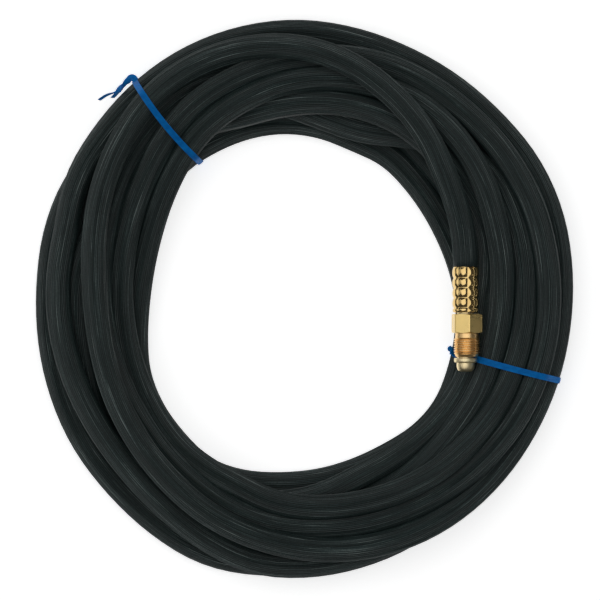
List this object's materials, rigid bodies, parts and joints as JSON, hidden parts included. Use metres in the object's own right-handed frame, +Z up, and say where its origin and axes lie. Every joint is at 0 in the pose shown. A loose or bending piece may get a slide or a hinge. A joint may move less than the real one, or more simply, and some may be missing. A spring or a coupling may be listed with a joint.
{
  "type": "TIG torch power cable and gas hose",
  "caption": "Black ribbed rubber TIG torch cable wound into a flat coil, with crimped brass end fittings with swivel nuts, held by blue twist ties.",
  "frame": {"origin": "centre of the coil's footprint, on the surface it lies on", "axes": "+Z up out of the coil; the machine-end fitting lies at +X and its axis points to -Y"},
  "size_m": [0.3252, 0.3377, 0.0561],
  "materials": {
    "rubber": "matt black ribbed rubber hose cover",
    "textile": "woven textile reinforcement",
    "inner_rubber": "smooth black rubber inner tube",
    "copper": "bare stranded copper",
    "brass_bright": "polished crimped brass",
    "brass_satin": "turned satin brass",
    "brass_nose": "machined brass",
    "blue_plastic": "blue plastic ribbon",
    "tie_wire": "soft steel wire"
  },
  "bodies": {
    "coil": {"hose_coil": "rubber", "hose_tail": "rubber", "tail_braid": "textile", "tail_inner_tube": "inner_rubber", "tail_copper_rope": "copper", "machine_ferrule": "brass_bright", "machine_nipple": "brass_nose", "machine_crimp_sleeve": "copper", "torch_ferrule": "brass_bright", "torch_nipple": "brass_nose", "torch_crimp_sleeve": "copper", "torch_hose_end": "rubber", "torch_braid_end": "textile", "torch_inner_tube_end": "inner_rubber", "torch_copper_rope_end": "copper", "rear_tie_ribbon": "blue_plastic", "rear_tie_wire": "tie_wire", "front_tie_ribbon": "blue_plastic", "front_tie_wire": "tie_wire"},
    "machine_nut": {"machine_swivel_nut": "brass_satin"},
    "torch_nut": {"torch_swivel_nut": "brass_satin"}
  },
  "joints": [
    {"name": "machine_nut_swivel", "type": "hinge", "parent": "coil", "child": "machine_nut", "pos_m": [0.09817, -0.02427, 0.0391], "axis": [0, 1, 0], "continuous": true},
    {"name": "torch_nut_swivel", "type": "hinge", "parent": "coil", "child": "torch_nut", "pos_m": [0.01118, 0.1212, 0.00845], "axis": [-0.9239, 0.3827, 0], "continuous": true}
  ]
}
